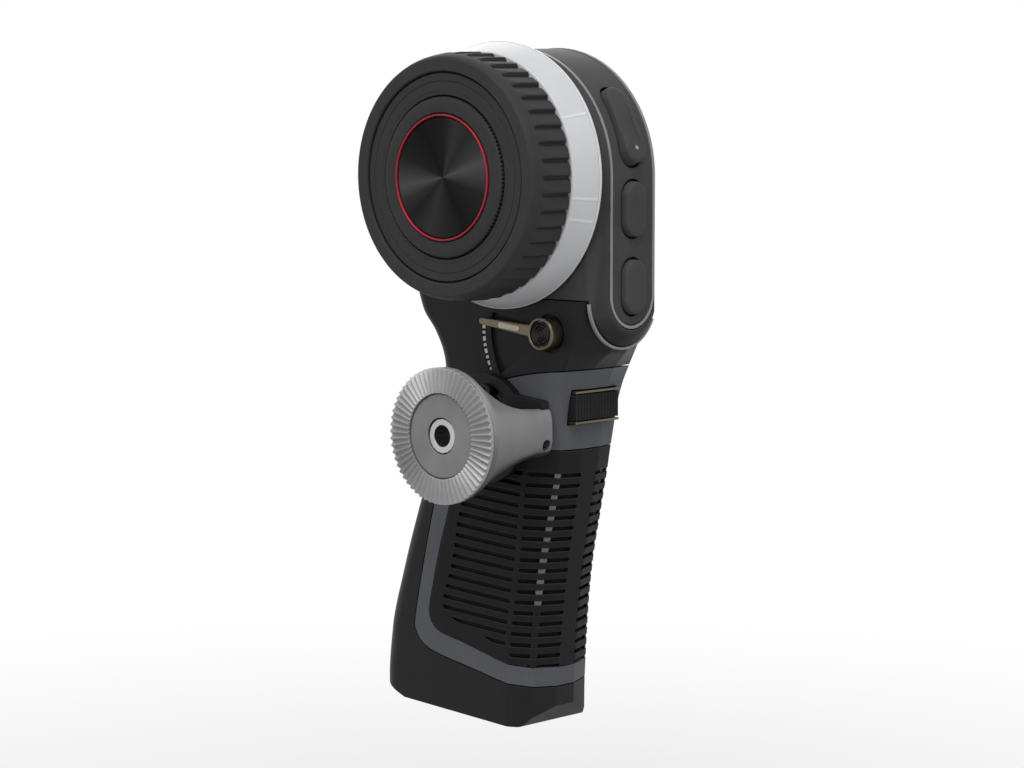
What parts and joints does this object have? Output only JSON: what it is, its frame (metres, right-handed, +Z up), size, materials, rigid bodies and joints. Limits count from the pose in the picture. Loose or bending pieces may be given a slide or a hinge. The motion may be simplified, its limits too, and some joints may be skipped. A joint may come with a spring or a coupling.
{
  "type": "wireless follow focus controller",
  "caption": "Handheld wireless focus controller: ribbed focus wheel on a slim button pod, a neck with a small lever, a raked grip with a trigger, and a toothed rosette at its left side.",
  "frame": {"origin": "centre of the toothed rosette's face, in the plane of the tooth tips", "axes": "+X from the wheel and rosette side across to the side with the window, -Y the way the buttons and the trigger face, +Z up along the pod"},
  "size_m": [0.0536, 0.0719, 0.1635],
  "materials": {
    "black_plastic": "fine moulded grain",
    "pod_plastic": "satin",
    "black_rubber": "matte",
    "blue_grey": "satin",
    "marking_grey": "semi gloss",
    "red_metal": "anodised",
    "spun_black": "spun",
    "silver_trim": "satin chrome",
    "steel": "machined",
    "grey_metal": "anodised",
    "gold": "satin",
    "circuit": "solder mask",
    "dark_window": "polished",
    "cell_wrap": "wrapped",
    "clear_dark": "display"
  },
  "bodies": {
    "body": {"pod_body": "pod_plastic", "pod_cover": "pod_plastic", "display_glass": "dark_window", "display_module": "clear_dark", "cover_screw_front": "steel", "cover_screw_back": "steel", "button_panel": "pod_plastic", "panel_bezel": "silver_trim", "cradle_trim": "silver_trim", "switch_board": "circuit", "rocker_board": "circuit", "rocker_pin": "steel", "bearing_housing": "grey_metal", "bearing_outer": "steel", "bearing_inner": "steel", "wheel_seal": "black_rubber", "main_board": "circuit", "charging_socket": "steel", "mount_base": "black_plastic", "rosette_mount": "grey_metal", "rosette_ring": "grey_metal", "thread_insert": "steel", "mount_screw_upper": "steel", "mount_screw_lower": "steel", "battery_cell": "cell_wrap", "top_contact": "silver_trim", "contact_carrier": "black_plastic", "door_pin": "steel", "collar_trim": "blue_grey", "grip_sleeve": "black_rubber", "neck_yoke": "black_plastic", "grip_shell_left": "black_plastic", "grip_shell_right": "black_plastic", "shell_screw_top": "steel", "shell_screw_middle": "steel", "shell_screw_back": "steel", "neck_screw_front": "steel", "neck_screw_back": "steel", "trigger_housing": "black_plastic"},
    "focus_wheel": {"wheel_core": "black_plastic", "marking_ring": "marking_grey", "wheel_tyre": "black_rubber", "face_plate": "black_plastic", "knurled_boss": "black_plastic", "red_ring": "red_metal", "spun_cap": "spun_black", "hub_nut": "steel", "wheel_shaft": "steel", "encoder_magnet": "steel"},
    "rocker": {"rocker_button": "pod_plastic"},
    "upper_key": {"button_upper": "pod_plastic"},
    "lower_key": {"button_lower": "pod_plastic"},
    "lever": {"lever_arm": "gold", "lever_cap": "spun_black", "lever_shaft": "steel"},
    "trigger": {"trigger_frame": "gold", "trigger_pad": "black_rubber"},
    "door": {"battery_door": "black_plastic", "door_spring": "silver_trim"},
    "latch": {"door_latch": "pod_plastic"}
  },
  "joints": [
    {"name": "focus_wheel_turn", "type": "hinge", "parent": "body", "child": "focus_wheel", "pos_m": [0.02, 0.0055, 0.0592], "axis": [1, 0, 0], "continuous": true},
    {"name": "rocker_tilt", "type": "hinge", "parent": "body", "child": "rocker", "pos_m": [0.04, -0.01944, 0.0703], "axis": [1, 0, 0], "range_deg": [-2.5, 2.5], "stiffness_Nm_per_rad": 0.12},
    {"name": "upper_key_press", "type": "slide", "parent": "body", "child": "upper_key", "axis": [0, 1, 0], "range_m": [0, 0.0005], "stiffness_N_per_m": 1500},
    {"name": "lower_key_press", "type": "slide", "parent": "body", "child": "lower_key", "axis": [0, 1, 0], "range_m": [0, 0.0005], "stiffness_N_per_m": 1500},
    {"name": "lever_swing", "type": "hinge", "parent": "body", "child": "lever", "pos_m": [0.027, -0.0092, 0.0226], "axis": [-1, 0, 0], "range_deg": [0, 28]},
    {"name": "trigger_pull", "type": "slide", "parent": "body", "child": "trigger", "axis": [0, 1, 0], "range_m": [0, 0.0018], "stiffness_N_per_m": 1200},
    {"name": "battery_door_open", "type": "hinge", "parent": "body", "child": "door", "pos_m": [0.04, 0.03524, -0.06861], "axis": [1, 0, 0], "range_deg": [0, 85]},
    {"name": "door_latch_slide", "type": "slide", "parent": "door", "child": "latch", "axis": [0, 0.9972, 0.075], "range_m": [0, 0.0016], "stiffness_N_per_m": 200}
  ]
}
